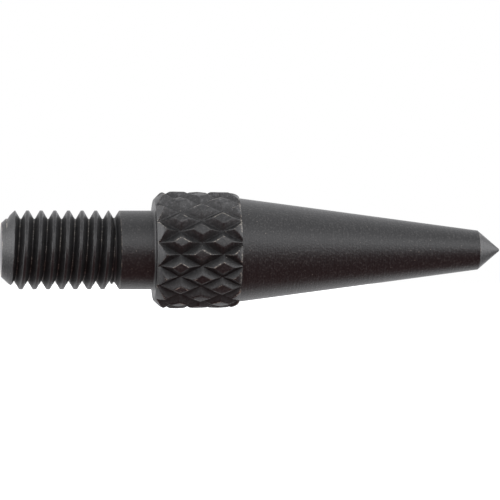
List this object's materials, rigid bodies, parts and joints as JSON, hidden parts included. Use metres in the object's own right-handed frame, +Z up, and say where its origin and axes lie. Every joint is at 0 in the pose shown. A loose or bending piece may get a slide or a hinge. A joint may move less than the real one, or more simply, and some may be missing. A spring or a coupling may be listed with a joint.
{
  "type": "screw-in center point",
  "caption": "Turned steel point with a left-hand M6 threaded shank, plain neck, diamond-knurled collar, long tapered nose and conical tip, blackened",
  "frame": {"origin": "centre of the collar's flat rear face, which seats against the holder", "axes": "+X along the axis towards the tip, the thread lies along -X, and +Z is up"},
  "size_m": [0.0369, 0.0086, 0.0086],
  "materials": {
    "blackened_steel": "satin black oxide over turned steel, with fine turning marks and bare metal on worn edges"
  },
  "bodies": {
    "root": {"center_point": "blackened_steel"}
  },
  "joints": []
}
